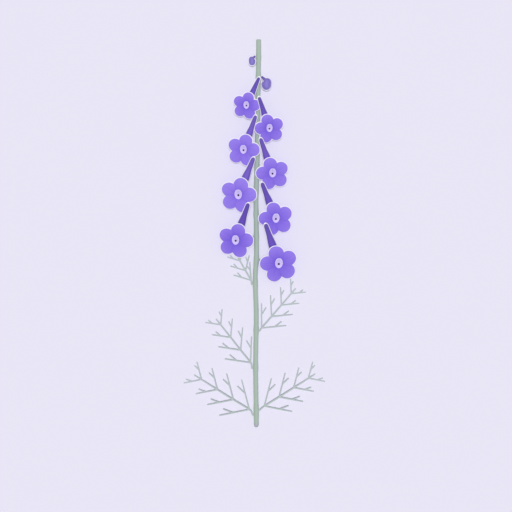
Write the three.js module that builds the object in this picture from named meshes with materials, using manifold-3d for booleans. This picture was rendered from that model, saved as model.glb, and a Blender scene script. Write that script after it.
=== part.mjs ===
// A cut larkspur flower spike, lying face up on a flat surface.
//
// Millimetres. +Y runs from the cut end of the stem to its tip, +X is to the right of the spike seen
// from above, +Z is up and z = 0 is the surface it lies on. All flowers face up.
import * as THREE from "three";
import { mergeVertices } from "three/addons/utils/BufferGeometryUtils.js";
import Module from "manifold-3d";

const wasm = await Module();
wasm.setup();

// Stem
const SPIKE_LENGTH = 350;
const STEM_RADIUS = 2.25;
const STEM_SWELLING = 0.25; // added to the radius where a leaf or a flower stalk leaves the stem
const SWELLING_HALF_LENGTH = 5;
const STEM_SIDES = 8;
const STEM_RINGS = 42;
// Sideways wander of the stem's centre line, as [distance from the cut end, x]
const STEM_WANDER = [
  [0, 0],
  [54, -0.6],
  [100, -0.1],
  [135, -1],
  [157, 0.2],
  [205, -0.3],
  [250, 0.9],
  [350, 2.1],
];

// Flowers from the top of the spike down: centre of the ring of sepals, its radius, and how far the
// spur leans from the stem's direction towards the stem. They stand left and right in turn.
const FLOWERS = [
  { x: -8.9, y: 289.9, radius: 12.0, spurLean: 24.8 },
  { x: 11.7, y: 269.2, radius: 12.9, spurLean: 18.6 },
  { x: -11.5, y: 249.9, radius: 14.2, spurLean: 19.9 },
  { x: 14.5, y: 228.8, radius: 14.5, spurLean: 19.2 },
  { x: -16.1, y: 209.4, radius: 15.8, spurLean: 22.5 },
  { x: 17.5, y: 188.1, radius: 15.1, spurLean: 21.4 },
  { x: -18.5, y: 168.5, radius: 15.4, spurLean: 18.9 },
  { x: 20.1, y: 147.6, radius: 16.5, spurLean: 18.5 },
];
const FLOWER_NOD = 16; // degrees that the face of a flower turns towards the cut end
const FLOWER_OUTWARD = 5; // degrees that it turns away from the stem
const FLOWER_TURN = 15; // degrees that its top sepal leans towards the stem
const SEEN_FLAT = 0.97; // length of a tilted sepal seen from above
const flowerHeight = (radius) => 4.6 + 0.28 * radius;

// Sepals, as fractions of the flower's radius
const SEPALS = [
  "spurred_sepal",
  "inner_side_sepal",
  "inner_lower_sepal",
  "outer_lower_sepal",
  "outer_side_sepal",
];
const SEPAL_HALF_ANGLE = Math.PI / 5;
const SEPAL_BASE = 0.13;
const LOBE_CENTRE = 0.595;
const LOBE_RADIUS = 0.405;
const PALE_EDGE = 0.75; // mm that the pale edge adds to a lobe or a bud
const SPUR_EDGE = 0.3; // mm that it adds to a spur
const SEPAL_EDGE_DROP = 0.05;
const SEPAL_THICKNESS = 0.7; // mm
const SEPAL_GAP = 0.2; // mm, from a sepal's edge to the middle of the gap beside it
const sepalRise = (rho) => 0.36 * rho - 0.3 * rho * rho;

// Spur, as [distance from the flower's centre, height above it, radius], in flower radii
const SPUR = [
  [0.26, 0.06, 0.1],
  [0.5, -0.05, 0.17],
  [1.0, 0.05, 0.213],
  [1.6, 0.23, 0.153],
  [2.31, 0.47, 0.1],
];
const SPUR_SIDES = 8;
const SPUR_RINGS = 7;

// Centre petal, as fractions of the flower's radius
const EYE_HALF_WIDTH = 0.205;
const EYE_HALF_HEIGHT = 0.285;
const EYE_OFFSET = 0.08;
const EYE_RIM = 0.07;
const EYE_CLAW_RADIUS = 0.05;
const EYE_CLEARANCE = 0.45; // mm over the sepals
const EYE_THICKNESS = 0.7; // mm

// Flower stalks
const PEDICEL_RADIUS = 0.75;
const PEDICEL_RISE = 3.8; // mm that a stalk leaves the stem above its flower's centre
const RECEPTACLE_RADIUS = 0.085; // of the flower's radius
const RECEPTACLE_DEPTH = 0.21;

// Buds, each with the place where its short violet stalk meets the stem's flank
const BUDS = [
  {
    name: "bud_left",
    centre: [-3.8, 330.1, 5.2],
    halfWidth: 2.9,
    halfLength: 3.8,
    stalkEnd: [-1.3, 334.6, 3.6],
    stalkRadius: 1.1,
  },
  {
    name: "bud_right",
    centre: [9.1, 309.2, 6],
    halfWidth: 4.1,
    halfLength: 5.1,
    stalkEnd: [4.9, 316, 3.6],
    stalkRadius: 1.25,
  },
];

// Leaves: side of the stem (-1 left), where the base meets the stem, the place of the first pair of
// segments, the leaf's unit of length, the angle of the midrib above the +X or -X direction, and how many
// degrees the first inner segment is folded in beside the stem
const LEAVES = [
  { name: "leaf_lower_left", side: -1, base: 11.7, first: [-6.4, 16.2], unit: 26.9, angle: 31.9 },
  { name: "leaf_lower_right", side: 1, base: 15.8, first: [7.3, 19.2], unit: 24.9, angle: 32.1 },
  { name: "leaf_middle_left", side: -1, base: 53.7, first: [-5.2, 58.4], unit: 23.0, angle: 51.6, fold: 3 },
  { name: "leaf_middle_right", side: 1, base: 87.4, first: [4.8, 89.6], unit: 21.7, angle: 49.2, fold: 2.5 },
  { name: "leaf_upper_left", side: -1, base: 129.5, first: [-4.8, 132.6], unit: 16.1, angle: 60.5, fold: 18 },
];
const PAIR_SPACING = 0.63; // in the leaf's units, as are the segments
const PAIR_LENGTHS = [1.04, 0.9, 0.75, 0.62];
const SEGMENT_ANGLE = 43.5; // degrees from the midrib
const SIDE_LOBE_AT = 0.53;
const SIDE_LOBE_LENGTH = 0.35;
const SIDE_LOBE_ANGLE = 32;
const END_SEGMENT = 0.3;
const MIDRIB_RADIUS = 0.78;
const SEGMENT_RADIUS = 0.64;
const SEGMENT_TAPER = 0.92;
const LEAF_ARCH = 0.17;
const STEM_CLEARANCE = 0.35;

const SEGMENT_SIDES = 4;
const SEGMENT_RINGS = 2;
const MIDRIB_SIDES = 5;
const MIDRIB_RINGS = 9;
const STUB_SIDES = 8;
const STUB_RINGS = 4;
const PEDICEL_SIDES = 5;
const PEDICEL_RINGS = 4;
const SMALLEST_DETAIL = 0.05; // mm, finer faces than this are merged

const radians = (degrees) => (degrees * Math.PI) / 180;

const MATERIALS = {
  stem: material(0xa9baab, 0.75),
  leaf: material(0xaebbb8, 0.8),
  sepal: material(0x8d76e1, 0.6),
  spur: material(0x7665c6, 0.6),
  petal: material(0xcfbefb, 0.6),
  bud: material(0x8a7dcf, 0.6),
};

function material(color, roughness) {
  return new THREE.MeshStandardMaterial({ color, roughness, metalness: 0 });
}

// A solid from a geometry whose faces are closed
function toSolid(geometry) {
  const bare = new THREE.BufferGeometry();
  bare.setAttribute("position", geometry.getAttribute("position").clone());
  bare.setIndex(geometry.index);
  const merged = mergeVertices(bare, 1e-4);
  const triVerts = new Uint32Array(merged.index.array);
  const vertProperties = new Float32Array(merged.getAttribute("position").array);
  return new wasm.Manifold(new wasm.Mesh({ numProp: 3, vertProperties, triVerts }));
}

function toGeometry(solid) {
  const mesh = solid.getMesh();
  const geometry = new THREE.BufferGeometry();
  geometry.setAttribute("position", new THREE.BufferAttribute(mesh.vertProperties, 3));
  geometry.setIndex(new THREE.BufferAttribute(mesh.triVerts, 1));
  geometry.computeVertexNormals();
  return geometry;
}

function join(solids) {
  return solids.reduce((whole, solid) => whole.add(solid)).simplify(SMALLEST_DETAIL);
}

// A closed round rod along a curve, with radiusAt(t) for t from 0 to 1
function rod(curve, radiusAt, sides, rings) {
  const geometry = new THREE.CylinderGeometry(1, 1, 1, sides, rings);
  const position = geometry.getAttribute("position");
  const vertex = new THREE.Vector3();
  for (let i = 0; i < position.count; i += 1) {
    vertex.fromBufferAttribute(position, i);
    const t = THREE.MathUtils.clamp(vertex.y + 0.5, 0, 1);
    const along = curve.getTangent(t);
    const across = new THREE.Vector3(0, 0, 1).cross(along).normalize();
    const upward = along.clone().cross(across);
    const point = curve.getPoint(t);
    point.addScaledVector(across, vertex.z * radiusAt(t));
    point.addScaledVector(upward, vertex.x * radiusAt(t));
    position.setXYZ(i, point.x, point.y, point.z);
  }
  return geometry;
}

// The same rod as a solid, with round ends and a radius that goes evenly from one value to the other
function taperedRod(points, startRadius, endRadius, sides, rings) {
  const curve = new THREE.CatmullRomCurve3(points, false, "catmullrom", 0.5);
  const radiusAt = (t) => THREE.MathUtils.lerp(startRadius, endRadius, t) * (t === 1 ? 0.5 : 1);
  return toSolid(rod(curve, radiusAt, sides, rings));
}

// A closed sheet: topPoint(u, v) for u and v from 0 to 1 gives its upper face, and the lower face lies
// one thickness below it
function sheet(columns, rows, topPoint, thickness) {
  const geometry = new THREE.BoxGeometry(1, 1, 1, columns, rows, 1);
  const position = geometry.getAttribute("position");
  for (let i = 0; i < position.count; i += 1) {
    const point = topPoint(position.getX(i) + 0.5, position.getY(i) + 0.5);
    const drop = position.getZ(i) < 0 ? thickness : 0;
    position.setXYZ(i, point.x, point.y, point.z - drop);
  }
  return geometry;
}

function stemX(y) {
  const after = STEM_WANDER.findIndex(([distance]) => distance >= y);
  if (after <= 0) return STEM_WANDER[0][1];
  const [y0, x0] = STEM_WANDER[after - 1];
  const [y1, x1] = STEM_WANDER[after];
  const t = (y - y0) / (y1 - y0);
  return THREE.MathUtils.lerp(x0, x1, t * t * (3 - 2 * t));
}

const swellings = [
  ...LEAVES.map((leaf) => leaf.base),
  ...FLOWERS.map((flower) => flower.y + PEDICEL_RISE),
  ...BUDS.map((bud) => bud.stalkEnd[1]),
];

function stemRadius(y) {
  const nearest = Math.min(...swellings.map((at) => Math.abs(at - y)));
  const bulge = Math.max(0, 1 - nearest / SWELLING_HALF_LENGTH);
  return STEM_RADIUS + STEM_SWELLING * bulge * bulge * (3 - 2 * bulge);
}

// Turns a flower so that it nods, faces outwards and leans its top sepal towards the stem
function flowerTurn(side) {
  const [nod, outward, lean] = [FLOWER_NOD, side * FLOWER_OUTWARD, side * FLOWER_TURN].map(radians);
  return new THREE.Quaternion().setFromEuler(new THREE.Euler(nod, outward, lean, "YXZ"));
}

function stalk(fromY, side, end, endRadius) {
  const start = new THREE.Vector3(stemX(fromY) + side * STEM_RADIUS * 0.5, fromY, STEM_RADIUS * 1.2);
  const middle = start.clone().lerp(end, 0.5);
  middle.z = Math.min(start.z, end.z) - 0.2;
  const curve = new THREE.CatmullRomCurve3([start, middle, end]);
  const radiusAt = (t) => PEDICEL_RADIUS + (endRadius - PEDICEL_RADIUS) * t ** 4;
  return toSolid(rod(curve, radiusAt, PEDICEL_SIDES, PEDICEL_RINGS));
}

function makeStem() {
  const points = [];
  for (let ring = 0; ring <= STEM_RINGS; ring += 1) {
    const y = (ring / STEM_RINGS) * SPIKE_LENGTH;
    points.push(new THREE.Vector3(stemX(y), y, STEM_RADIUS + STEM_SWELLING));
  }
  const curve = new THREE.CatmullRomCurve3(points);
  const endRounding = (t) => (t === 0 || t === 1 ? 0.8 : 1);
  const radiusAt = (t) => stemRadius(t * SPIKE_LENGTH) * endRounding(t);
  const solids = [toSolid(rod(curve, radiusAt, STEM_SIDES, STEM_RINGS))];
  for (const { x, y, radius } of FLOWERS) {
    const side = Math.sign(x);
    const behind = new THREE.Vector3(0, 0, -RECEPTACLE_DEPTH * radius).applyQuaternion(flowerTurn(side));
    const end = behind.add(new THREE.Vector3(x, y, flowerHeight(radius)));
    solids.push(stalk(y + PEDICEL_RISE, side, end, RECEPTACLE_RADIUS * radius));
  }
  return join(solids);
}

function makeSepal(radius) {
  const full = radius / SEEN_FLAT;
  const lobe = LOBE_RADIUS + PALE_EDGE / radius;
  const notch = LOBE_CENTRE - 0.045;
  const lobeStart = Math.asin((notch - LOBE_CENTRE) / lobe);
  const lobeEnd = radians(78);
  const topPoint = (u, v) => {
    let along = THREE.MathUtils.lerp(SEPAL_BASE, notch, v * 3);
    let half = along * Math.tan(SEPAL_HALF_ANGLE);
    if (v > 1 / 3) {
      const turn = THREE.MathUtils.lerp(lobeStart, lobeEnd, (v * 3 - 1) / 2);
      along = LOBE_CENTRE + lobe * Math.sin(turn);
      half = lobe * Math.cos(turn);
    }
    const q = u * 2 - 1;
    const across = q * (Math.min(half, along * Math.tan(SEPAL_HALF_ANGLE)) * full - SEPAL_GAP);
    const up = (sepalRise(along) - SEPAL_EDGE_DROP * q * q * along) * full;
    return new THREE.Vector3(across, along * full, up);
  };
  return sheet(4, 6, topPoint, SEPAL_THICKNESS);
}

// The hollow spur is a solid rod here, in the turned frame of its flower
function makeSpur({ radius, spurLean }, side) {
  const back = flowerTurn(side).invert();
  const forward = new THREE.Vector2(0, radius).rotateAround(new THREE.Vector2(), side * radians(spurLean));
  const curve = new THREE.CatmullRomCurve3(
    SPUR.map(([distance, up]) => new THREE.Vector3(forward.x * distance, forward.y * distance, up * radius)),
  );
  const radiusAt = (t) => {
    const step = Math.min(Math.floor(t * (SPUR.length - 1)), SPUR.length - 2);
    const size = THREE.MathUtils.lerp(SPUR[step][2], SPUR[step + 1][2], t * (SPUR.length - 1) - step);
    return (size * radius + SPUR_EDGE) * (t === 1 ? 0.6 : 1);
  };
  const geometry = rod(curve, radiusAt, SPUR_SIDES, SPUR_RINGS);
  return toSolid(geometry.applyQuaternion(back));
}

// A shallow oval dish over the bases of the sepals, with a claw down through the middle of the flower
function makeCentrePetal(radius) {
  const topPoint = (u, v) => {
    const ring = 1 - v;
    const turn = u * Math.PI * 2;
    const x = EYE_HALF_WIDTH * ring * Math.sin(turn);
    const y = EYE_OFFSET + EYE_HALF_HEIGHT * ring * Math.cos(turn);
    const up = sepalRise(Math.hypot(x, y)) + EYE_RIM * ring * ring;
    return new THREE.Vector3(x * radius, y * radius, up * radius + EYE_CLEARANCE + EYE_THICKNESS);
  };
  const claw = new THREE.CylinderGeometry(EYE_CLAW_RADIUS * radius, EYE_CLAW_RADIUS * radius, 1, 8);
  claw.rotateX(Math.PI / 2).scale(1, 1, 2.2).translate(0, 0, 0.4);
  return join([ovalDish(topPoint, 3, 12), toSolid(claw)]);
}

// The dish turned into a solid: its upper face by rings, and the lower face one thickness below
function ovalDish(topPoint, rings, sides) {
  const profile = [];
  for (let ring = 0; ring <= rings; ring += 1) profile.push(new THREE.Vector2(ring / rings, 1));
  for (let ring = rings; ring >= 0; ring -= 1) profile.push(new THREE.Vector2(ring / rings, 0));
  const geometry = new THREE.LatheGeometry(profile, sides);
  const position = geometry.getAttribute("position");
  for (let i = 0; i < position.count; i += 1) {
    const ring = Math.hypot(position.getX(i), position.getZ(i));
    const turn = Math.atan2(position.getX(i), position.getZ(i)) / (Math.PI * 2);
    const point = topPoint(turn, 1 - ring);
    const drop = position.getY(i) < 0.5 ? EYE_THICKNESS : 0;
    position.setXYZ(i, point.x, point.y, point.z - drop);
  }
  return toSolid(geometry);
}

function makeFlower(flower, number) {
  const side = Math.sign(flower.x);
  const group = new THREE.Group();
  group.position.set(flower.x, flower.y, flowerHeight(flower.radius));
  group.quaternion.copy(flowerTurn(side));
  SEPALS.forEach((name, index) => {
    const blade = makeSepal(flower.radius);
    const turned = blade.rotateZ(side * index * SEPAL_HALF_ANGLE * 2);
    const geometry = index === 0 ? toGeometry(join([toSolid(turned), makeSpur(flower, side)])) : turned;
    const mesh = new THREE.Mesh(geometry, index === 0 ? MATERIALS.spur : MATERIALS.sepal);
    mesh.name = `flower_${number}_${name}`;
    group.add(mesh);
  });
  const eye = new THREE.Mesh(toGeometry(makeCentrePetal(flower.radius)), MATERIALS.petal);
  eye.name = `flower_${number}_centre_petal`;
  eye.rotation.z = -side * radians(FLOWER_TURN);
  group.add(eye);
  return group;
}

function makeBud({ name, centre, halfWidth, halfLength, stalkEnd, stalkRadius }) {
  const egg = new THREE.SphereGeometry(1, 12, 8);
  egg.scale(halfWidth + PALE_EDGE, halfLength + PALE_EDGE, halfWidth);
  egg.translate(...centre);
  const start = new THREE.Vector3(...centre);
  const end = new THREE.Vector3(...stalkEnd);
  const path = [start, start.clone().lerp(end, 0.5), end];
  const stub = taperedRod(path, halfWidth * 0.5, stalkRadius, STUB_SIDES, STUB_RINGS);
  const mesh = new THREE.Mesh(toGeometry(join([toSolid(egg), stub])), MATERIALS.bud);
  mesh.name = name;
  return mesh;
}

function makeLeaf({ name, side, base, first, unit, angle, fold = 0 }) {
  const pairs = PAIR_LENGTHS.length;
  const forward = new THREE.Vector2(side * Math.cos(radians(angle)), Math.sin(radians(angle)));
  const lateral = new THREE.Vector2(-side * forward.y, side * forward.x);
  const reach = (PAIR_SPACING * (pairs - 1) + END_SEGMENT + 0.22) * unit;
  const offStem = STEM_RADIUS + STEM_SWELLING + STEM_CLEARANCE + MIDRIB_RADIUS;
  const start = new THREE.Vector2(stemX(base) + side * offStem, base);
  const firstPair = new THREE.Vector2(first[0], first[1]);

  // Height of the leaf over the surface at a place seen from above
  const place = (flat) => {
    const offset = flat.clone().sub(start);
    const t = THREE.MathUtils.clamp(offset.dot(forward) / reach, 0, 1);
    const sideways = offset.dot(lateral) / unit;
    const arch = (1 - t) * 1.6 + LEAF_ARCH * unit * Math.sin(Math.PI * t ** 0.8);
    const droop = THREE.MathUtils.clamp(1 - 1.5 * sideways * sideways, 0.12, 1);
    return new THREE.Vector3(flat.x, flat.y, SEGMENT_RADIUS + arch * droop);
  };
  const blade = (from, to) => {
    const path = [from, from.clone().lerp(to, 0.5), to].map(place);
    return taperedRod(path, SEGMENT_RADIUS, SEGMENT_RADIUS * SEGMENT_TAPER, SEGMENT_SIDES, SEGMENT_RINGS);
  };
  const turned = (degrees) => forward.clone().rotateAround(new THREE.Vector2(), radians(degrees));

  const nodes = Array.from({ length: pairs }, (_, index) =>
    firstPair.clone().addScaledVector(forward, index * PAIR_SPACING * unit),
  );
  const tip = nodes[pairs - 1].clone().addScaledVector(forward, END_SEGMENT * unit);
  const midrib = [start, ...nodes, tip].map(place);
  const solids = [taperedRod(midrib, MIDRIB_RADIUS, SEGMENT_RADIUS, MIDRIB_SIDES, MIDRIB_RINGS)];
  nodes.forEach((node, index) => {
    for (const hand of [-1, 1]) {
      const segment = PAIR_LENGTHS[index] * unit;
      const spread = SEGMENT_ANGLE - (index === 0 && hand === side ? fold : 0);
      const direction = turned(hand * spread);
      const end = node.clone().addScaledVector(direction, segment);
      const fork = node.clone().addScaledVector(direction, segment * SIDE_LOBE_AT);
      const lobeEnd = fork.clone().addScaledVector(
        turned(hand * (spread - SIDE_LOBE_ANGLE)),
        segment * SIDE_LOBE_LENGTH,
      );
      solids.push(blade(node, end));
      solids.push(blade(fork, lobeEnd));
    }
  });
  const mesh = new THREE.Mesh(toGeometry(join(solids)), MATERIALS.leaf);
  mesh.name = name;
  return mesh;
}

function makeSpike() {
  const spike = new THREE.Group();
  const stem = new THREE.Mesh(toGeometry(makeStem()), MATERIALS.stem);
  stem.name = "stem";
  spike.add(stem);
  LEAVES.forEach((leaf) => spike.add(makeLeaf(leaf)));
  BUDS.forEach((bud) => spike.add(makeBud(bud)));
  FLOWERS.forEach((flower, index) => spike.add(makeFlower(flower, index + 1)));
  return spike;
}

// The row's origin is the middle of the underside of the spike's bounding box
const spike = makeSpike();
spike.updateMatrixWorld(true);
const box = new THREE.Box3().setFromObject(spike, true);
const middle = box.getCenter(new THREE.Vector3());
spike.position.set(-middle.x, -middle.y, -box.min.z);
const model = new THREE.Group();
model.add(spike);
export default model;
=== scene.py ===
import bpy
import numpy as np
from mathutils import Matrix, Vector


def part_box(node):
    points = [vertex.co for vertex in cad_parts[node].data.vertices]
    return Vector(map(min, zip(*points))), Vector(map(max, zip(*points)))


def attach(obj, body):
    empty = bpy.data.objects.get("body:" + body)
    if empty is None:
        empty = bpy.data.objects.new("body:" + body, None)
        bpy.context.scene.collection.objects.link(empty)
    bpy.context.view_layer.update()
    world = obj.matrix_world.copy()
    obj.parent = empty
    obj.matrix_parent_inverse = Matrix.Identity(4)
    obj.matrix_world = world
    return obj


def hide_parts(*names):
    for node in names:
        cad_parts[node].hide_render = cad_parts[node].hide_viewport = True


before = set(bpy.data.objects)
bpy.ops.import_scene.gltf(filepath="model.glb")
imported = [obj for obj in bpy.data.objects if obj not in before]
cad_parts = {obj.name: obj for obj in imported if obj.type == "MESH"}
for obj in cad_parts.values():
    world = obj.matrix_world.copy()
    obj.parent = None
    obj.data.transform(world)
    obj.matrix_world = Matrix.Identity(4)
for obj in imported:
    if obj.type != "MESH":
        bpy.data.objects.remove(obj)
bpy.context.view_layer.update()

# --- Stem ---------------------------------------------------------------------------------------
# The stalk of the spike: a slim, straight green rod with faint ribs and a very fine down, a little
# swollen where each leaf and flower stalk grows out, cut across below and pinched out above. Here and
# below, lengths are in millimetres and y runs from the cut end.
MM = 0.001
SPIKE_LENGTH = 350.0
STEM_RADIUS = 2.25
STEM_SWELLING = 0.25
SWELLING_REACH = 6.0
STEM_RIBS = 11
STEM_WANDER = [(0, 0), (54, -0.6), (100, -0.1), (135, -1), (157, 0.2), (205, -0.3), (250, 0.9), (350, 2.1)]
LEAF_NODES = [11.7, 15.8, 53.7, 87.4, 129.5]
STALK_NODES = [293.7, 273.0, 253.7, 232.6, 213.2, 191.9, 172.3, 151.4]
BUD_NODES = [334.6, 316.0]
LOWER_ROUNDING = 2.8
UPPER_ROUNDING = 0.5
LOWER_FACE = 0.35  # a cut face's share of the stem's radius
UPPER_FACE = 0.88
CUT_RINGS = [(0.05, 0.3), (0.4, 0.26), (0.7, 0.15), (0.92, 0.03)]  # share of the face and depth
RIB_DEPTH = 0.035  # share of the radius
STEM_ROWS = 420
STEM_AROUND = 66


def cut_end_centre():
    """The middle of the lower cut end in millimetres: half way between the lowest and highest x and z
    of the stem's corners that lie within half a millimetre of its lowest y."""
    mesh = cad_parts["stem"].data
    corners = np.empty(len(mesh.vertices) * 3)
    mesh.vertices.foreach_get("co", corners)
    corners = corners.reshape(-1, 3) / MM
    end = corners[corners[:, 1] < corners[:, 1].min() + 0.5]
    return (end.min(axis=0) + end.max(axis=0)) / 2


ORIGIN = cut_end_centre() - [0, 0, STEM_RADIUS + STEM_SWELLING]
ORIGIN[1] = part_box("stem")[0].y / MM


def linear(hex_colour):
    """sRGB hex to linear red, green, blue and alpha: each part is divided by 12.92 below 0.04045, and
    raised to the power 2.4 after adding 0.055 and dividing by 1.055 above it."""
    parts = np.array([int(hex_colour[i : i + 2], 16) for i in (1, 3, 5)]) / 255
    low = parts / 12.92
    high = ((parts + 0.055) / 1.055) ** 2.4
    return (*np.where(parts <= 0.04045, low, high).tolist(), 1.0)


def add_node(tree, kind, inputs=None, **settings):
    """Adds one node, sets its properties, and gives each named or numbered input a value or a link."""
    made = tree.nodes.new(kind)
    for name, value in settings.items():
        setattr(made, name, value)
    for name, value in (inputs or {}).items():
        if isinstance(value, bpy.types.NodeSocket):
            tree.links.new(value, made.inputs[name])
        else:
            made.inputs[name].default_value = value
    return made


def new_material(name, roughness, sheen=0.0, specular=0.3):
    """A named material with its Principled shader, which the caller's nodes then drive."""
    material = bpy.data.materials.new(name)
    material.use_nodes = True
    tree = material.node_tree
    shader = tree.nodes["Principled BSDF"]
    shader.inputs["Roughness"].default_value = roughness
    shader.inputs["Specular IOR Level"].default_value = specular
    shader.inputs["Sheen Weight"].default_value = sheen
    shader.inputs["Sheen Roughness"].default_value = 0.4
    return material, tree, shader


def ramp(tree, factor, stops):
    """A colour ramp with a stop at each (position, hex colour)."""
    made = add_node(tree, "ShaderNodeValToRGB", {"Fac": factor})
    elements = made.color_ramp.elements
    while len(elements) < len(stops):
        elements.new(0.5)
    for element, (position, colour) in zip(elements, stops):
        element.position = position
        element.color = linear(colour)
    return made.outputs["Color"]


def mix(tree, factor, first, second):
    """Mixes two colours by the factor."""
    made = add_node(tree, "ShaderNodeMix", {0: factor, 6: first, 7: second}, data_type="RGBA")
    return made.outputs[2]


def attribute(tree, name):
    """The value of a vertex attribute."""
    return add_node(tree, "ShaderNodeAttribute", attribute_name=name).outputs["Fac"]


def noise(tree, per_mm, detail=3.0, stretch=(1, 1, 1)):
    """Noise on the object's own coordinates, with this many cells to a millimetre."""
    place = add_node(tree, "ShaderNodeTexCoord").outputs["Object"]
    scaled = add_node(tree, "ShaderNodeMapping", {"Vector": place, "Scale": stretch})
    cells = {"Vector": scaled.outputs["Vector"], "Scale": per_mm / MM, "Detail": detail}
    return add_node(tree, "ShaderNodeTexNoise", cells).outputs["Fac"]


def bump(tree, shader, height, depth_mm):
    """Drives the shader's normal from a height between 0 and 1 that stands for this many millimetres."""
    made = add_node(tree, "ShaderNodeBump", {"Height": height, "Distance": depth_mm * MM, "Strength": 1.0})
    tree.links.new(made.outputs["Normal"], shader.inputs["Normal"])


def grid_faces(rows, around):
    """Four-cornered faces between neighbouring rings of a closed tube, with a fan to a pole vertex at
    each end. The poles come after the rings: first the start's, then the end's."""
    index = np.arange(rows * around).reshape(rows, around)
    right = np.roll(index, -1, axis=1)
    quads = np.stack([index[:-1], right[:-1], right[1:], index[1:]], axis=-1).reshape(-1, 4)
    start, end = rows * around, rows * around + 1
    first = np.stack([np.full(around, start), right[0], index[0]], axis=-1)
    last = np.stack([np.full(around, end), index[-1], right[-1]], axis=-1)
    return quads.tolist() + first.tolist() + last.tolist()


def ring_angles(around, crowding=0.0):
    """Angles round a ring: even steps t, less half the crowding times the sine of twice t, which draws
    the points together at both flanks."""
    t = np.linspace(0, 2 * np.pi, around, endpoint=False)
    return t - crowding / 2 * np.sin(2 * t)


def tube(path, radii, angle, flat=1.0):
    """Rings round a path: each ring's points are the path's point plus the radius times the cosine
    along the horizontal side direction and the sine along the upper direction, which flat squeezes.
    radii has one value a ring or one for every point. Poles close both ends."""
    around = len(angle)
    along = np.gradient(path, axis=0)
    along /= np.linalg.norm(along, axis=1, keepdims=True)
    side = np.cross(along, [0, 0, 1])
    side /= np.linalg.norm(side, axis=1, keepdims=True)
    upper = np.cross(side, along)
    spread = np.broadcast_to(np.reshape(radii, (len(path), -1)), (len(path), around))
    across = (spread * np.cos(angle))[..., None] * side[:, None]
    raised = (spread * np.sin(angle) * flat)[..., None] * upper[:, None]
    rings = path[:, None] + across + raised
    points = np.concatenate([rings.reshape(-1, 3), path[:1], path[-1:]])
    return points, [face[::-1] for face in grid_faces(len(path), around)]


def add_piece(name, points, faces, materials, nodes=(), attributes=None, face_material=None):
    """Makes an object from points in the spike's millimetres, smooth shaded, riding on the root."""
    mesh = bpy.data.meshes.new(name)
    mesh.from_pydata(((points + ORIGIN) * MM).tolist(), [], faces)
    for material in materials:
        mesh.materials.append(material)
    for key, values in (attributes or {}).items():
        layer = mesh.attributes.new(key, "FLOAT", "POINT")
        layer.data.foreach_set("value", np.asarray(values, dtype=np.float32).ravel())
    if face_material is not None:
        mesh.polygons.foreach_set("material_index", np.asarray(face_material, dtype=np.int32))
    mesh.polygons.foreach_set("use_smooth", np.ones(len(faces), dtype=bool))
    mesh.update()
    piece = bpy.data.objects.new(name, mesh)
    bpy.context.scene.collection.objects.link(piece)
    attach(piece, "root")
    if nodes:
        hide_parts(*nodes)


def stem_x(y):
    """Sideways wander of the stem's centre line: an ease in and out between neighbouring points."""
    places, offsets = np.array(STEM_WANDER, dtype=float).T
    step = np.clip(np.searchsorted(places, y, side="left") - 1, 0, len(places) - 2)
    t = np.clip((y - places[step]) / (places[step + 1] - places[step]), 0, 1)
    return offsets[step] + (offsets[step + 1] - offsets[step]) * t * t * (3 - 2 * t)


def stem_radius(y):
    """The stem's radius with an eased swelling at each node."""
    nodes = np.array(LEAF_NODES + STALK_NODES + BUD_NODES)
    nearest = np.abs(np.subtract.outer(y, nodes)).min(axis=1)
    bulge = np.clip(1 - nearest / SWELLING_REACH, 0, 1)
    return STEM_RADIUS + STEM_SWELLING * bulge * bulge * (3 - 2 * bulge)


def stem_skin():
    """Living larkspur stem: matt waxy green skin with painted shading across it, greener on one flank and
    greyer and paler on the other, with pale ribs and fine down that catches the light at its edges."""
    material, tree, shader = new_material("living stem skin", 0.62, sheen=0.35)
    flank = attribute(tree, "flank")
    # Painted shading: the flank ramp makes one side of the stem greener and the other greyer and paler.
    skin = ramp(tree, flank, [(0.0, "#a9bdaa"), (0.45, "#a6baac"), (1.0, "#b3c3be")])
    blotch = noise(tree, 0.25, stretch=(1, 0.15, 1))
    patches = ramp(tree, blotch, [(0.35, "#000000"), (0.75, "#8c8c8c")])
    mottled = mix(tree, patches, skin, linear("#9fb8a6"))
    ribbed = mix(tree, attribute(tree, "rib"), mottled, linear("#bccbbd"))
    ended = mix(tree, attribute(tree, "end"), ribbed, linear("#adb2bb"))
    tree.links.new(ended, shader.inputs["Base Color"])
    down = noise(tree, 3.0, stretch=(1, 0.3, 1))
    bump(tree, shader, down, 0.05)
    return material


def cut_pith():
    """The wet cut across a stem: a pale green-white pith of large cells in a darker green ring."""
    material, tree, shader = new_material("cut pith", 0.5, specular=0.4)
    reach = attribute(tree, "reach")
    rings = ramp(tree, reach, [(0.0, "#dbe3cf"), (0.62, "#ccd9c0"), (0.78, "#93ab8c"), (1.0, "#a9bba6")])
    cells = noise(tree, 4.0)
    tree.links.new(mix(tree, cells, rings, linear("#c3d0b4")), shader.inputs["Base Color"])
    bump(tree, shader, cells, 0.08)
    return material


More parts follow.
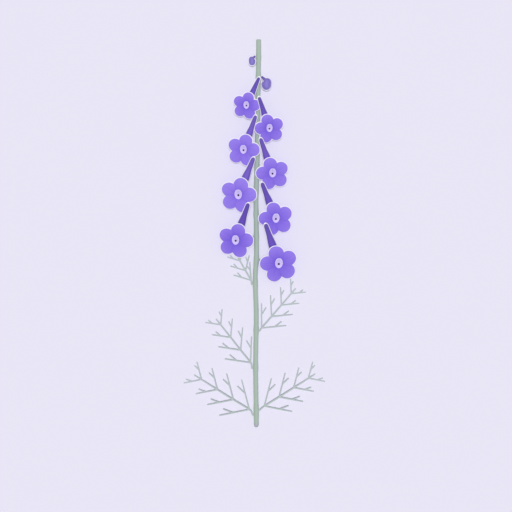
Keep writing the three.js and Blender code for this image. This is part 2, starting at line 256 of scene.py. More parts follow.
def make_stem():
    """Upright rings on a line that wanders in x: at angle a, x is the line's plus r cos a and z is the
    axis height plus r sin a. Towards each end r falls as a quarter ellipse over the rounding, and then
    the rings shrink to a point on a slightly hollow cut face."""
    bend = np.linspace(0, np.pi / 2, 12)
    low, low_share = LOWER_ROUNDING * (1 - np.cos(bend)), LOWER_FACE + (1 - LOWER_FACE) * np.sin(bend)
    high, high_share = UPPER_ROUNDING * (1 - np.cos(bend)), UPPER_FACE + (1 - UPPER_FACE) * np.sin(bend)
    face, hollow = np.array(CUT_RINGS).T
    along = np.linspace(LOWER_ROUNDING + 0.5, SPIKE_LENGTH - UPPER_ROUNDING - 0.5, STEM_ROWS)
    upper_y = SPIKE_LENGTH - np.concatenate([high[::-1], hollow[::-1]])
    y = np.concatenate([hollow, low, along, upper_y])
    upper_share = np.concatenate([high_share[::-1], UPPER_FACE * face[::-1]])
    shrink = np.concatenate([LOWER_FACE * face, low_share, np.ones(len(along)), upper_share])
    rows, around = len(y), STEM_AROUND
    angle = ring_angles(around)
    rib = 0.5 + 0.5 * np.cos(STEM_RIBS * angle)
    radii = (stem_radius(y) * shrink)[:, None] * (1 - RIB_DEPTH * (1 - rib))[None]
    axis_height = STEM_RADIUS + STEM_SWELLING
    x = stem_x(y)[:, None] + radii * np.cos(angle)
    z = axis_height + radii * np.sin(angle)
    rings = np.stack([x, y[:, None] + 0 * x, z], axis=-1).reshape(-1, 3)
    poles = [[stem_x(end), end, axis_height] for end in (hollow[0], SPIKE_LENGTH - hollow[0])]
    faces = [corners[::-1] for corners in grid_faces(rows, around)]
    ring = np.repeat(np.arange(rows - 1), around)
    in_face = (ring < len(face)) | (ring >= rows - len(face) - 1)
    cut = np.append(in_face, np.ones(2 * around, dtype=bool))
    attributes = {
        # flank carries the painted shading from one side of the stem to the other.
        "flank": np.append(np.tile(0.5 + 0.5 * np.cos(angle), rows), [0.5, 0.5]),
        "rib": np.append(np.tile(0.3 * rib, rows), [0, 0]),
        "reach": np.append(np.repeat(shrink, around), [0, 0]),
        "end": np.append(np.repeat(np.clip((5 - y) / 3, 0, 1), around), [1, 0]),
    }
    materials = [stem_skin(), cut_pith()]
    add_piece("stem", np.concatenate([rings, poles]), faces, materials, ["stem"], attributes, cut)


make_stem()

# --- Flower stalks ------------------------------------------------------------------------------
# Each open flower sits on a short thin stalk that leaves the stem just above it and ends behind the
# flower in a small swollen receptacle, on which the sepals stand. They are part of the stem. A flower
# has its centre, its radius, its spur's lean to the stem in degrees, and how far it has faded, 0 to 1.
FLOWERS = [
    (-8.9, 289.9, 12.0, 24.8, 0.25),
    (11.7, 269.2, 12.9, 18.6, 0.25),
    (-11.5, 249.9, 14.2, 19.9, 0.9),
    (14.5, 228.8, 14.5, 19.2, 0.6),
    (-16.1, 209.4, 15.8, 22.5, 1.0),
    (17.5, 188.1, 15.1, 21.4, 0.25),
    (-18.5, 168.5, 15.4, 18.9, 0.0),
    (20.1, 147.6, 16.5, 18.5, 0.25),
]
FLOWER_NOD = 16.0
FLOWER_OUTWARD = 5.0
FLOWER_TURN = 15.0
FLOWER_HEIGHT = 4.6
HEIGHT_PER_RADIUS = 0.28
STALK_RADIUS = 0.75
STALK_ABOVE = 3.8
STALK_ROWS = 40
STALK_AROUND = 16


def turn(axis, degrees):
    """The matrix that turns column vectors about a main axis by the right-hand rule."""
    c, s = np.cos(np.radians(degrees)), np.sin(np.radians(degrees))
    if axis == "x":
        return np.array([[1, 0, 0], [0, c, -s], [0, s, c]])
    if axis == "y":
        return np.array([[c, 0, s], [0, 1, 0], [-s, 0, c]])
    return np.array([[c, -s, 0], [s, c, 0], [0, 0, 1]])


def flower_place(x, y, radius):
    """The flower's turn and its centre: it leans its top to the stem, nods, then faces outwards."""
    side = np.sign(x)
    matrix = turn("y", side * FLOWER_OUTWARD) @ turn("x", FLOWER_NOD) @ turn("z", side * FLOWER_TURN)
    return matrix, np.array([x, y, FLOWER_HEIGHT + HEIGHT_PER_RADIUS * radius])


def smooth_path(points, samples):
    """A Catmull-Rom curve: between two points, the cubic whose slope at each is half the step from the
    point before to the point after."""
    points = np.asarray(points, dtype=float)
    ends = np.concatenate([[2 * points[0] - points[1]], points, [2 * points[-1] - points[-2]]])
    place = np.linspace(0, len(points) - 1, samples)
    step = np.minimum(place.astype(int), len(points) - 2)
    t = (place - step)[:, None]
    a, b, c, d = (ends[step + k] for k in range(4))
    slope, bend, twist = (c - a) / 2, a - 2.5 * b + 2 * c - 0.5 * d, (3 * (b - c) + d - a) / 2
    return b + t * (slope + t * (bend + t * twist))


def round_ends(t, start, end):
    """One along the middle of a rod at shares t of its length, falling as a quarter circle over the
    shares start and end at its two ends. A share of nothing leaves that end full."""
    first = np.sqrt(np.clip(1 - np.clip(1 - t / start, 0, 1) ** 2, 0.0025, 1)) if start else 1.0
    last = np.sqrt(np.clip(1 - np.clip(1 - (1 - t) / end, 0, 1) ** 2, 0.0025, 1)) if end else 1.0
    return first * last


def stalk_skin():
    """Flower stalk: the stem's green, flushed violet towards the flower, with a fine down."""
    material, tree, shader = new_material("living stalk skin", 0.6, sheen=0.35)
    reach = attribute(tree, "reach")
    skin = ramp(tree, reach, [(0.0, "#a3b9a4"), (0.55, "#9fae9f"), (1.0, "#8f86b5")])
    tree.links.new(mix(tree, noise(tree, 0.8), skin, linear("#98a9a0")), shader.inputs["Base Color"])
    bump(tree, shader, noise(tree, 3.0), 0.05)
    return material


def make_stalk(name, start, end, end_radius, material):
    """A thin tube that dips slightly between the stem and the flower and swells at both ends."""
    middle = (start + end) / 2 - [0, 0, 0.6]
    path = smooth_path([start, middle, end], STALK_ROWS)
    t = np.linspace(0, 1, STALK_ROWS)
    radii = STALK_RADIUS * (1 + 0.5 * (1 - t) ** 6) + (end_radius - STALK_RADIUS) * t**5
    points, faces = tube(path, radii * round_ends(t, 0, 0.05), ring_angles(STALK_AROUND))
    reach = np.append(np.repeat(t, STALK_AROUND), [0, 1])
    add_piece(name, points, faces, [material], attributes={"reach": reach})


STALK_MATERIAL = stalk_skin()
for number, (x, y, radius, *_) in enumerate(FLOWERS, 1):
    matrix, centre = flower_place(x, y, radius)
    side = np.sign(x)
    start = np.array([stem_x(y + STALK_ABOVE) + side * 1.6, y + STALK_ABOVE, 2.9])
    end = centre + matrix @ [0, 0, -0.9 - 0.06 * radius]
    make_stalk(f"flower_stalk_{number}", start, end, 0.11 * radius, STALK_MATERIAL)

# --- Sepals -------------------------------------------------------------------------------------
# The five showy violet leaves of each flower are sepals: round thin blades on narrow bases, each
# lapping over the next. They are soft and velvety, with fine veins. Their colour is painted darker towards
# the throat and paler outwards, partly their own colour and partly painted shading, and their edge is
# painted near-white, partly a paler edge and partly a painted highlight. The lobes and bases are in flower
# radii, angles in degrees.
SEEN_FLAT = 0.97
LOBE_CENTRE = 0.595
LOBE_RADIUS = 0.405
LOBE_TURN = 103.0
SEPAL_BASE = 0.1
SEPAL_THICKNESS = 0.42
SEPAL_ROWS = 40
SEPAL_COLUMNS = 45
PALE_EDGE = 0.75
EDGE_WIDTH = 0.8


def sepal_rise(rho):
    """Height of the shallow bowl that the sepals make, in flower radii: up steeply and then level."""
    return 0.36 * rho - 0.3 * rho * rho


def sepal_blade(radius, phase):
    """Top face of a sepal pointing along +y. Each column runs straight from the narrow base to a point
    of the round lobe, so veins follow the columns. The height is the bowl's, less a drop to the sides
    and a groove on the midline, plus a tilt that lifts one edge over its neighbour and a soft wave. The
    margin is one within the edge's width of the lobe's free outline, up to 98 degrees from its tip."""
    full = radius / SEEN_FLAT
    lobe = LOBE_RADIUS + PALE_EDGE / full
    v = np.linspace(0, 1, SEPAL_ROWS)[:, None] ** 0.7
    q = np.linspace(-1, 1, SEPAL_COLUMNS)[None]
    angle = np.radians(LOBE_TURN) * q
    edge_x, edge_y = lobe * np.sin(angle), LOBE_CENTRE + lobe * np.cos(angle)
    base_x = SEPAL_BASE * 0.85 * q
    x = base_x + (edge_x - base_x) * v
    y = SEPAL_BASE + (edge_y - SEPAL_BASE) * v
    rho = np.hypot(x, y)
    width = np.abs(x) / lobe
    lift = sepal_rise(np.minimum(rho, 1)) - 0.055 * width**2 * np.clip(rho * 1.4, 0, 1)
    lap = 0.022 * np.clip(x / 0.3, -1, 1) * np.clip(rho / 0.25, 0, 1)
    groove = -0.012 * np.exp(-((x / 0.03) ** 2)) * np.sin(np.pi * np.clip(v, 0, 1)) ** 0.7
    wave = 0.010 * v**3 * np.sin(2.5 * np.pi * q + phase)
    ripple = 0.004 * np.sin(4.5 * np.pi * q + phase) * v**4
    z = lift + lap + groove + wave + ripple
    inside = (lobe - np.hypot(x, y - LOBE_CENTRE)) * full
    swing = np.degrees(np.arctan2(np.abs(x), y - LOBE_CENTRE))
    # The margin marks the rim that the sepal's material paints near-white: a pale edge and a painted
    # highlight in one.
    margin = np.clip((EDGE_WIDTH - inside) / 0.2, 0, 1) * np.clip((98 - swing) / 12, 0, 1)
    return np.stack([x, y, z], axis=-1) * full, rho, v + 0 * q, q + 0 * v, margin


def leafy_sheet(top, v, q, thickness):
    """Closes a sheet: the lower face lies under the upper one by the thickness, which falls to nothing
    at the outline, where both share their vertices."""
    rows, columns = v.shape
    full = thickness * np.sqrt(np.clip(1 - q**10, 0, 1)) * np.sqrt(np.clip(1 - v**12, 0, 1))
    full = full * np.sqrt(np.clip(1 - (1 - v) ** 30, 0, 1))
    under = top - full[..., None] * [0, 0, 1]
    upper = np.arange(rows * columns).reshape(rows, columns)
    lower = upper.copy()
    inner = np.arange((rows - 2) * (columns - 2)).reshape(rows - 2, columns - 2)
    lower[1:-1, 1:-1] = rows * columns + inner
    points = np.concatenate([top.reshape(-1, 3), under[1:-1, 1:-1].reshape(-1, 3)])
    faces = []
    for index, order in ((upper, 1), (lower, -1)):
        quad = np.stack([index[:-1, :-1], index[:-1, 1:], index[1:, 1:], index[1:, :-1]], axis=-1)
        faces += quad.reshape(-1, 4)[:, ::order].tolist()
    return points, faces


def both_faces(values):
    """A grid attribute for the upper face and then for the inner vertices of the lower face."""
    return np.concatenate([values.ravel(), values[1:-1, 1:-1].ravel()])


def sepal_velvet():
    """Larkspur sepal: a thin violet blade, paler with age, with faint darker veins and a velvet bloom. It
    is deeper in the throat of the flower and paler outwards, its own colour with painted shading of the
    bowl added, and its papery whitish edge is painted near-white, partly a pale edge and partly a painted
    highlight where the edge catches the light."""
    material, tree, shader = new_material("violet sepal velvet", 0.65, sheen=0.15, specular=0.2)
    reach, faded = attribute(tree, "reach"), attribute(tree, "faded")
    # Painted shading as well as the sepal's own colour: both ramps run darker towards the throat and paler
    # towards the tips.
    fresh = ramp(tree, reach, [(0.12, "#745ad6"), (0.43, "#8369e3"), (0.62, "#8b70e7"), (0.95, "#967eed")])
    old = ramp(tree, reach, [(0.12, "#8267de"), (0.43, "#9277ea"), (0.62, "#977dee"), (0.95, "#9b84f0")])
    body = mix(tree, faded, fresh, old)
    patches = ramp(tree, noise(tree, 0.35), [(0.4, "#000000"), (0.8, "#595959")])
    mottled = mix(tree, patches, body, linear("#7a5fdb"))
    veined = mix(tree, attribute(tree, "vein"), mottled, linear("#6f55cd"))
    # Painted highlight as well as a pale edge: the margin is painted near-white along the lobe's free
    # outline.
    pale_rimmed = mix(tree, attribute(tree, "margin"), veined, linear("#fdfaff"))
    tree.links.new(pale_rimmed, shader.inputs["Base Color"])
    bump(tree, shader, noise(tree, 2.2), 0.05)
    return material


SEPAL_MATERIAL = sepal_velvet()
SEPALS = ["spurred_sepal", "inner_side_sepal", "inner_lower_sepal", "outer_lower_sepal", "outer_side_sepal"]


def placed_sepal(flower, index, number):
    """A sepal's closed sheet in the spike's millimetres, with its attributes: reach is the distance from
    the flower's middle in radii, and veins are narrow crests at even steps of the columns."""
    x, y, radius, _, faded = flower
    matrix, centre = flower_place(x, y, radius)
    top, rho, v, q, margin = sepal_blade(radius, 1.7 * index + 2.3 * number)
    points, faces = leafy_sheet(top, v, q, SEPAL_THICKNESS)
    around = matrix @ turn("z", np.sign(x) * 72 * index)
    crest = np.clip((np.cos(4.5 * np.pi * q) ** 2 - 0.8) / 0.2, 0, 1)
    vein = 0.2 * crest * np.sin(np.pi * np.clip(v, 0, 1)) ** 0.5
    grids = {"reach": rho, "vein": vein, "margin": margin, "faded": faded + 0 * rho}
    attributes = {key: both_faces(values) for key, values in grids.items()}
    return points @ around.T + centre, faces, attributes


for number, flower in enumerate(FLOWERS, 1):
    for index, name in enumerate(SEPALS[1:], 1):
        points, faces, attributes = placed_sepal(flower, index, number)
        node = f"flower_{number}_{name}"
        add_piece(f"{name}_{number}", points, faces, [SEPAL_MATERIAL], [node], attributes)

# --- Spurred sepals -----------------------------------------------------------------------------
# The top sepal grows backwards into a long tapered pouch, the spur that gives larkspur its name. It
# is darker and firmer than the blade, with a thin papery keel on both flanks that is painted near-white,
# partly a pale edge and partly a painted highlight along its outline, and it passes over the edge of the
# flower above. Each row of SPUR is distance, height and radius in flower radii.
SPUR = [(0.2, -0.02, 0.1), (0.5, -0.05, 0.17), (1.0, 0.05, 0.213), (1.6, 0.23, 0.153), (2.31, 0.47, 0.1)]
SPUR_SAMPLES = 110
SPUR_AROUND = 48
CROWDING = 0.7
KEEL_HALF_THICKNESS = 0.2
KEEL_WIDTH = 0.65


def spur_skin():
    """Larkspur spur: a firm deep violet skin with faint lengthwise streaks and ribs, paler with age, and
    papery keels painted near-white, partly a pale edge and partly a painted highlight along the outline."""
    material, tree, shader = new_material("deep violet spur skin", 0.55, sheen=0.2, specular=0.25)
    reach, faded = attribute(tree, "reach"), attribute(tree, "faded")
    fresh = ramp(tree, reach, [(0.3, "#5940ac"), (0.6, "#6147b9"), (1.0, "#5c46a6")])
    old = ramp(tree, reach, [(0.3, "#7057c2"), (0.6, "#765dca"), (1.0, "#6f59b8")])
    body = mix(tree, faded, fresh, old)
    patches = ramp(tree, noise(tree, 0.5, stretch=(1, 0.2, 1)), [(0.4, "#000000"), (0.8, "#737373")])
    streaked = mix(tree, patches, body, linear("#7862ca"))
    ribbed = mix(tree, attribute(tree, "rib"), streaked, linear("#7b68ca"))
    # Painted highlight as well as a pale edge: the keels on both flanks are painted near-white.
    pale_rimmed = mix(tree, attribute(tree, "margin"), ribbed, linear("#fdfaff"))
    tree.links.new(pale_rimmed, shader.inputs["Base Color"])
    bump(tree, shader, noise(tree, 2.5), 0.04)
    return material


def keeled(body, outline, angle):
    """Radii of round rings with a thin keel on both flanks, and the keel's strength there. The radius is
    the body's plus the rest of the outline times the keel, which is e to the minus fourth power of the
    angle from the flank over the keel's half thickness seen from the axis. Past the body's end the keel
    is all there is."""
    half = np.clip(KEEL_HALF_THICKNESS / body, 0.05, 0.5)[:, None]
    keel = np.exp(-((np.abs(np.arcsin(np.sin(angle)))[None] / half) ** 4))
    strength = np.where(body[:, None] < 0.3, 1.0, np.clip(3 * keel, 0, 1))
    return body[:, None] + np.maximum(outline - body, 0)[:, None] * keel, strength


def make_spurred_sepal(flower, number):
    """The blade's sheet and the spur's tube in one mesh. The spur's path leans to the stem and rises
    slowly. Its round body stops an edge's width before the end, and the keels run on round the tip."""
    x, y, radius, lean, faded = flower
    side = np.sign(x)
    _, centre = flower_place(x, y, radius)
    blade, blade_faces, attributes = placed_sepal(flower, 0, number)
    sizes = np.array(SPUR)
    sizes[-1, 0] += EDGE_WIDTH / radius
    direction = np.array([-side * np.sin(np.radians(lean)), np.cos(np.radians(lean)), 0])
    control = sizes[:, :1] * direction + sizes[:, 1:2] * [0, 0, 1]
    path = smooth_path(control * radius, SPUR_SAMPLES) + centre
    width = smooth_path(sizes, SPUR_SAMPLES)[:, 2] * radius
    t = np.linspace(0, 1, SPUR_SAMPLES)
    angle = ring_angles(SPUR_AROUND, CROWDING)
    share = EDGE_WIDTH / (sizes[-1, 0] - sizes[0, 0]) / radius
    body = width * round_ends(np.clip(t / (1 - share), 0, 1), 0.06, 0.045)
    outline = (width + KEEL_WIDTH) * round_ends(t, 0.06, 0.075)
    rib = 0.5 + 0.5 * np.cos(5 * angle + np.pi / 2)
    radii, keel = keeled(body, outline, angle)
    spur, spur_faces = tube(path, radii * (1 - 0.03 * (1 - rib)), angle, flat=0.92)
    points = np.concatenate([blade, spur])
    faces = blade_faces + [[corner + len(blade) for corner in face] for face in spur_faces]
    count = SPUR_SAMPLES * SPUR_AROUND
    reach = np.append(np.repeat(t, SPUR_AROUND), [0, 1])
    values = {
        "reach": np.append(attributes["reach"], reach),
        "vein": np.append(attributes["vein"], np.zeros(count + 2)),
        # The keel's strength is also the margin that the spur's material paints near-white, a pale edge and
        # a painted highlight in one.
        "margin": np.append(attributes["margin"], np.append(keel, [0, 1])),
        "faded": np.append(attributes["faded"], np.full(count + 2, faded)),
        "rib": np.append(np.zeros(len(blade)), np.append(np.tile(0.2 * rib**4, SPUR_SAMPLES), [0, 0])),
    }
    kinds = np.repeat([0, 1], [len(blade_faces), len(spur_faces)])
    node = f"flower_{number}_spurred_sepal"
    materials = [SEPAL_MATERIAL, SPUR_MATERIAL]
    add_piece(f"spurred_sepal_{number}", points, faces, materials, [node], values, kinds)


SPUR_MATERIAL = spur_skin()
for number, flower in enumerate(FLOWERS, 1):
    make_spurred_sepal(flower, number)

# --- Centre petals ------------------------------------------------------------------------------
# The true petals are small, pale and fused into one oval cup in the middle of the flower, the eye. It
# stands on the bases of the sepals, round the throat where the anthers show. Sizes are in flower radii.
EYE_HALF_WIDTH = 0.205
EYE_HALF_HEIGHT = 0.285
EYE_OFFSET = 0.08
EYE_AROUND = 56
EYE_ROWS = 60
ANTHER_COUNT = 7
ANTHER_HALF_SIZE = (0.026, 0.029, 0.024)
# The cup's section from the throat out over the rim and back under, as share of the oval's reach and
# height over the sepals in flower radii
EYE_SECTION = [
    (0.03, 0.012), (0.3, 0.014), (0.55, 0.022), (0.78, 0.038), (0.93, 0.056), (1.0, 0.06),
    (1.03, 0.05), (1.0, 0.035), (0.9, 0.018), (0.7, -0.005), (0.35, -0.02), (0.03, -0.03),
]


def eye_petal():
    """The fused petals: thin whitish lilac tissue, deeper in the throat, with fine violet lines that
    lead in and a faint fleck above."""
    material, tree, shader = new_material("pale lilac petal", 0.55, sheen=0.15, specular=0.3)
    reach = attribute(tree, "reach")
    body = ramp(tree, reach, [(0.1, "#d2c2fb"), (0.4, "#d8c9fe"), (0.75, "#d8c9fe"), (1.0, "#e2d7ff")])
    lined = mix(tree, attribute(tree, "line"), body, linear("#b39ee8"))
    flecked = mix(tree, attribute(tree, "fleck"), lined, linear("#9a83cf"))
    tree.links.new(flecked, shader.inputs["Base Color"])
    bump(tree, shader, noise(tree, 2.5), 0.04)
    return material


def anther_skin():
    """Ripe anthers: small grainy sacs, dark violet brown."""
    material, tree, shader = new_material("dark violet anther", 0.7, sheen=0.1)
    grain = noise(tree, 4.0)
    tree.links.new(mix(tree, grain, linear("#2c1c48"), linear("#4a3674")), shader.inputs["Base Color"])
    bump(tree, shader, grain, 0.08)
    return material


def make_eye(flower, number):
    """The oval cup: the section is carried round an oval, whose reach bulges a little at the upper
    notch between its two lobes, and stands on the bowl of the sepals."""
    x, y, radius = flower[:3]
    matrix, centre = flower_place(x, y, radius)
    upright = matrix @ turn("z", -np.sign(x) * FLOWER_TURN)
    section = smooth_path([(a, b, 0) for a, b in EYE_SECTION], EYE_ROWS)
    angle = np.linspace(0, 2 * np.pi, EYE_AROUND, endpoint=False)[None]
    reach, height = section[:, :1], section[:, 1:2]
    notch = 1 - 0.05 * np.exp(-(((np.cos(angle) - 1) / 0.04) ** 2)) * reach**4
    px = EYE_HALF_WIDTH * reach * notch * np.sin(angle)
    py = EYE_OFFSET * np.clip(reach, 0, 1) + EYE_HALF_HEIGHT * reach * notch * np.cos(angle)
    wavy = 1 + 0.06 * np.cos(5 * angle) * reach**3
    pz = sepal_rise(np.hypot(px, py)) + height * wavy + 0.012
    rings = np.stack([px, py, pz], axis=-1).reshape(-1, 3) * radius
    poles = np.array([rings[:EYE_AROUND].mean(axis=0), rings[-EYE_AROUND:].mean(axis=0)])
    points = np.concatenate([rings, poles]) @ upright.T + centre
    faces = [face[::-1] for face in grid_faces(EYE_ROWS, EYE_AROUND)]
    line = 0.25 * np.clip(np.cos(9 * angle) ** 2 - 0.75, 0, 1) * 4 * np.sin(np.pi * np.clip(reach, 0, 1))
    fleck = 0.5 * np.exp(-((px / 0.03) ** 2) - ((py - 0.2) / 0.025) ** 2)
    values = {
        "reach": np.append(np.broadcast_to(reach, px.shape), [0, 0]),
        "line": np.append(line, [0, 0]),
        "fleck": np.append(fleck, [0, 0]),
    }
    node = f"flower_{number}_centre_petal"
    add_piece(f"centre_petal_{number}", points, faces, [EYE_MATERIAL], [node], values)

    # The anthers crowd in the throat, one in the middle and the rest in a ring
    sacs, sac_faces, around, rows = [], [], 12, 8
    pole = np.linspace(0, np.pi, rows + 2)[1:-1][:, None]
    a = ring_angles(around)[None]
    ball = np.stack([np.sin(pole) * np.cos(a), np.sin(pole) * np.sin(a), np.cos(pole) + 0 * a], axis=-1)
    ball = np.concatenate([ball.reshape(-1, 3), [[0, 0, 1], [0, 0, -1]]])
    for sac in range(ANTHER_COUNT):
        away, up = (0.0, 0.055) if sac == 0 else (0.04, 0.042)
        spot = np.array([away * np.cos(sac * np.pi / 3), away * np.sin(sac * np.pi / 3), up])
        swell = np.array(ANTHER_HALF_SIZE) * (1 + 0.12 * np.sin(2.1 * sac + number))
        sacs.append((ball * swell + spot) * radius)
        shift = sac * len(ball)
        sac_faces += [[corner + shift for corner in face] for face in grid_faces(rows, around)]
    points = np.concatenate(sacs) @ upright.T + centre
    add_piece(f"anthers_{number}", points, sac_faces, [ANTHER_MATERIAL])


EYE_MATERIAL = eye_petal()
ANTHER_MATERIAL = anther_skin()
for number, flower in enumerate(FLOWERS, 1):
    make_eye(flower, number)

# --- Buds ---------------------------------------------------------------------------------------
# Two closed buds near the tip: five violet sepals folded into an egg, with a seam between each two that
# is darkened with painted shade, and a pale edge in the middle of both flanks that is painted near-white,
# partly a papery edge and partly a painted highlight, on a short dark violet stalk that meets the stem. A
# bud has its centre, half width, half length, the end of its stalk and the stalk's radius.
BUD_ROWS = 130
BUD_AROUND = 56
BUDS = [
    ("bud_left", (-3.8, 330.1, 5.2), 2.9, 3.8, (-1.0, 334.9, 3.5), 0.75),
    ("bud_right", (9.1, 309.2, 6.0), 4.1, 5.1, (4.6, 316.4, 3.5), 0.9),
]


def bud_skin():
    """A larkspur bud: the sepals' outer faces, greyer than inside and darker at the stalk, with painted
    shade along the folds, a pale down and a whitish edge painted near-white, partly a papery edge and
    partly a painted highlight."""
    material, tree, shader = new_material("downy violet bud", 0.6, sheen=0.4, specular=0.25)
    reach = attribute(tree, "reach")
    body = ramp(tree, reach, [(0.0, "#8f82d6"), (0.55, "#8b7dd3"), (0.72, "#7866c2"), (1.0, "#6650b0")])
    patches = ramp(tree, noise(tree, 0.6), [(0.4, "#000000"), (0.8, "#666666")])
    blotched = mix(tree, patches, body, linear("#8071c8"))
    # Painted shade: the folds between the sepals are painted darker.
    fold_shaded = mix(tree, attribute(tree, "seam"), blotched, linear("#7060b4"))
    # Painted highlight as well as a pale edge: the margin on both flanks is painted near-white.
    pale_rimmed = mix(tree, attribute(tree, "margin"), fold_shaded, linear("#fdfaff"))
    tree.links.new(pale_rimmed, shader.inputs["Base Color"])
    bump(tree, shader, noise(tree, 2.5), 0.06)
    return material


def make_bud(name, centre, half_width, half_length, stalk_end, stalk_radius):
    """One keeled tube from the egg's lower end to the stalk's: its radius is the egg's and, past the
    egg's middle, the stalk's, joined by the fourth root of their fourth powers and pressed in along
    five seams. The outline is the same an edge's width further out."""
    x, y, height = centre
    whole = half_length + EDGE_WIDTH
    low, high = np.array([x, y - whole, height]), np.array([x, y + half_length * 0.55, height])
    path = smooth_path([low, centre, high, stalk_end], BUD_ROWS)
    run = np.append(0, np.cumsum(np.linalg.norm(np.diff(path, axis=0), axis=1)))
    t, past = run / run[-1], run - whole
    egg = half_width * np.sqrt(np.clip(1 - (past / half_length) ** 2, 0, 1))
    egg_outline = (half_width + EDGE_WIDTH) * np.sqrt(np.clip(1 - (past / whole) ** 2, 0, 1))
    stalk = np.interp(past, [0, run[-1] - whole], [half_width * 0.45, stalk_radius]) * (past > 0)
    body = np.maximum((egg**4 + (stalk * round_ends(t, 0, 0.04)) ** 4) ** 0.25, 0.05)
    stalk_outline = (stalk + KEEL_WIDTH) * (past > 0) * round_ends(t, 0, 0.06)
    outline = (egg_outline**4 + stalk_outline**4) ** 0.25
    angle = ring_angles(BUD_AROUND, CROWDING)
    radii, keel = keeled(body, outline, angle)
    seam = np.clip(np.cos(2.5 * (angle + 0.3)) ** 2 - 0.86, 0, 1)[None] / 0.14
    seam = seam * np.clip(1 - np.abs(past / half_length) ** 3, 0, 1)[:, None] * (1 - keel)
    points, faces = tube(path, radii * (1 - 0.04 * seam), angle)
    values = {
        "reach": np.append(np.repeat(t, len(angle)), [0, 1]),
        # The seam value also carries the painted shade in the folds.
        "seam": np.append(0.5 * seam, [0, 0]),
        # The margin is the keel that the bud's material paints near-white, a pale edge and a painted
        # highlight in one.
        "margin": np.append(keel, [1, 1]),
    }
    add_piece(f"{name}_petals", points, faces, [BUD_MATERIAL], [name], values)


BUD_MATERIAL = bud_skin()
for bud in BUDS:
    make_bud(*bud)

# --- Leaves -------------------------------------------------------------------------------------
# Larkspur leaves are cut to the midrib into narrow segments in pairs, each with a side lobe. They are
# grey green, a little fleshy and downy, and arch over from the stem until their tips touch down. A leaf
# has its side, the y of its base, its first pair, its unit of length, the midrib's angle in degrees, and
# how many degrees its first inner segment folds in beside the stem.
LEAVES = [
    ("leaf_lower_left", -1, 11.7, (-6.4, 16.2), 26.9, 31.9, 0),
    ("leaf_lower_right", 1, 15.8, (7.3, 19.2), 24.9, 32.1, 0),
    ("leaf_middle_left", -1, 53.7, (-5.2, 58.4), 23.0, 51.6, 3),
    ("leaf_middle_right", 1, 87.4, (4.8, 89.6), 21.7, 49.2, 2.5),
    ("leaf_upper_left", -1, 129.5, (-4.8, 132.6), 16.1, 60.5, 18),
]
PAIR_SPACING = 0.63
PAIR_LENGTHS = [1.04, 0.9, 0.75, 0.62]
SEGMENT_ANGLE = 43.5
SIDE_LOBE_AT = 0.53
SIDE_LOBE_LENGTH = 0.35
SIDE_LOBE_ANGLE = 32
END_SEGMENT = 0.3
MIDRIB_RADIUS = 0.8
SEGMENT_RADIUS = 0.65
LEAF_ARCH = 0.17
LEAF_GRAIN = 0.2
MIDRIB_ROWS = 120
SEGMENT_ROWS = 40


def leaf_skin():
    """Larkspur leaf: matt grey green under a waxy bloom, greener to the base, with a fine down."""
    material, tree, shader = new_material("bloomed leaf skin", 0.7, sheen=0.3, specular=0.2)
    body = ramp(tree, attribute(tree, "reach"), [(0.0, "#b7c8bf"), (0.4, "#bac8c4"), (1.0, "#bdcac6")])
    patches = ramp(tree, noise(tree, 0.12), [(0.35, "#000000"), (0.65, "#bfbfbf")])
    mottled = mix(tree, patches, body, linear("#bdc0cc"))
    tree.links.new(mottled, shader.inputs["Base Color"])
    bump(tree, shader, noise(tree, 3.0), 0.05)
    return material


def one_skin(points, faces):
    """Grows one closed skin over overlapping closed tubes: the tubes are remeshed on a fine grid and
    the skin is smoothed lightly. Gives its points in the same millimetres, and its faces."""
    mesh = bpy.data.meshes.new("rough_leaf")
    mesh.from_pydata((points * MM).tolist(), [], faces)
    rough = bpy.data.objects.new("rough_leaf", mesh)
    bpy.context.scene.collection.objects.link(rough)
    remesh = rough.modifiers.new("Skin", "REMESH")
    remesh.mode = "VOXEL"
    remesh.voxel_size = LEAF_GRAIN * MM
    smooth = rough.modifiers.new("Smooth", "SMOOTH")
    smooth.factor = 0.5
    smooth.iterations = 3
    graph = bpy.context.evaluated_depsgraph_get()
    skin = bpy.data.meshes.new_from_object(rough.evaluated_get(graph))
    made = np.empty(len(skin.vertices) * 3)
    skin.vertices.foreach_get("co", made)
    loops = np.empty(len(skin.loops), dtype=np.int32)
    skin.loops.foreach_get("vertex_index", loops)
    starts = np.empty(len(skin.polygons), dtype=np.int32)
    skin.polygons.foreach_get("loop_start", starts)
    outline = [part.tolist() for part in np.split(loops, starts[1:])]
    bpy.data.objects.remove(rough)
    bpy.data.meshes.remove(skin)
    return made.reshape(-1, 3) / MM, outline


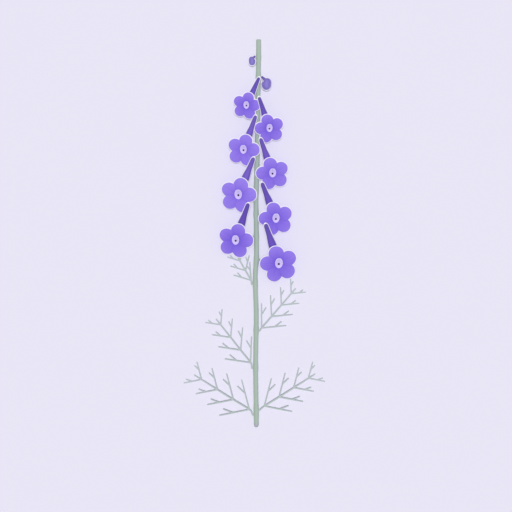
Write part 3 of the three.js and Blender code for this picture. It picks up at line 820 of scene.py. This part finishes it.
def make_leaf(name, side, base, first, unit, degrees, fold):
    """Midrib, segments and side lobes as flattened tubes laid over the leaf's arch, grown into one
    skin. The arch falls from the stem's height by a sine to the surface, and drops to the sides."""
    forward = np.array([side * np.cos(np.radians(degrees)), np.sin(np.radians(degrees))])
    lateral = np.array([-side * forward[1], side * forward[0]])
    reach = (PAIR_SPACING * 3 + END_SEGMENT + 0.22) * unit
    start = np.array([stem_x(base) + side * (STEM_RADIUS + STEM_SWELLING + 0.9), base])

    def place(flat):
        """The height over the surface: the arch, less the drop with the square of the way sideways."""
        offset = flat - start
        t = np.clip(offset @ forward / reach, 0, 1)
        sideways = offset @ lateral / unit
        arch = (1 - t) * 1.6 + LEAF_ARCH * unit * np.sin(np.pi * t**0.8)
        droop = np.clip(1 - 1.5 * sideways * sideways, 0.12, 1)
        return np.column_stack([flat, SEGMENT_RADIUS + arch * droop])

    def spread(a):
        """The leaf's forward direction turned by this many degrees."""
        c, s = np.cos(np.radians(a)), np.sin(np.radians(a))
        return np.array([forward[0] * c - forward[1] * s, forward[0] * s + forward[1] * c])

    nodes = [np.array(first) + forward * k * PAIR_SPACING * unit for k in range(4)]
    tip = nodes[3] + forward * END_SEGMENT * unit
    clasp = start - np.array([side * 0.9, 0.6])
    midrib = smooth_path([[*p, 0] for p in [clasp, start, *nodes, tip]], MIDRIB_ROWS)[:, :2]
    t = np.linspace(0, 1, MIDRIB_ROWS)
    ribs = (MIDRIB_RADIUS + 0.35 * (1 - t) ** 12) * (1 - t) + SEGMENT_RADIUS * t
    parts = [tube(place(midrib), ribs * round_ends(t, 0, 0.008), ring_angles(14), flat=0.8)]
    for k, node in enumerate(nodes):
        for hand in (-1, 1):
            angle = SEGMENT_ANGLE - (fold if k == 0 and hand == side else 0)
            segment = PAIR_LENGTHS[k] * unit
            fork = node + spread(hand * angle) * segment * SIDE_LOBE_AT
            runs = [(node, angle, segment), (fork, angle - SIDE_LOBE_ANGLE, segment * SIDE_LOBE_LENGTH)]
            for root, way, run in runs:
                s = np.linspace(0, 1, SEGMENT_ROWS)
                line = root + s[:, None] * spread(hand * way) * run
                width = SEGMENT_RADIUS * (1 - 0.08 * s) * round_ends(s, 0.02, 0.4 / run)
                parts.append(tube(place(line), width, ring_angles(12), flat=0.75))
    points, faces, shift = [], [], 0
    for part, part_faces in parts:
        points.append(part)
        faces += [[corner + shift for corner in face] for face in part_faces]
        shift += len(part)
    points, faces = one_skin(np.concatenate(points), faces)
    away = np.clip((points[:, :2] - start) @ forward / reach, 0, 1)
    add_piece(name + "_blade", points, faces, [LEAF_MATERIAL], [name], {"reach": away})


LEAF_MATERIAL = leaf_skin()
for leaf in LEAVES:
    make_leaf(*leaf)

# --- Surface, light and camera ------------------------------------------------------------------
# A plain pale lavender sheet of matt paper in a white room, under a lamp high up and straight above,
# seen from above through a long lens.
FLOOR_SIZE = 6.0  # metres, as the gap below the object
FLOOR_GAP = 0.0001
VIEW_CENTRE = (-0.3, 154.6)
VIEW_WIDTH = 463.0
LENS = 120.0
SENSOR = 36.0


def paper():
    """Matt coated paper: even pale lavender with the faintest cloudiness of its pulp."""
    material, tree, shader = new_material("matt lavender paper", 0.9, specular=0.1)
    pulp = noise(tree, 0.02)
    tree.links.new(mix(tree, pulp, linear("#eae7f7"), linear("#e9e6f6")), shader.inputs["Base Color"])
    return material


floor_mesh = bpy.data.meshes.new("floor")
half = FLOOR_SIZE / 2
corners = [(x, y, -FLOOR_GAP) for x, y in ((-half, -half), (half, -half), (half, half), (-half, half))]
floor_mesh.from_pydata(corners, [], [(0, 1, 2, 3)])
floor_mesh.materials.append(paper())
floor = bpy.data.objects.new("floor", floor_mesh)
bpy.context.scene.collection.objects.link(floor)

world = bpy.data.worlds.new("studio")
world.use_nodes = True
world.node_tree.nodes["Background"].inputs["Color"].default_value = linear("#f8f7fa")
world.node_tree.nodes["Background"].inputs["Strength"].default_value = 0.3
bpy.context.scene.world = world

lamp = bpy.data.lights.new("lamp", "SUN")
lamp.energy = 2.23
lamp.angle = np.radians(4)
bpy.context.scene.collection.objects.link(bpy.data.objects.new("lamp", lamp))

lens = bpy.data.cameras.new("camera")
lens.lens = LENS
lens.sensor_width = SENSOR
lens.clip_end = 50
camera = bpy.data.objects.new("camera", lens)
distance = VIEW_WIDTH * MM * LENS / SENSOR
camera.location = ((VIEW_CENTRE[0] + ORIGIN[0]) * MM, (VIEW_CENTRE[1] + ORIGIN[1]) * MM, distance)
bpy.context.scene.collection.objects.link(camera)
bpy.context.scene.camera = camera
bpy.context.scene.view_settings.view_transform = "Standard"
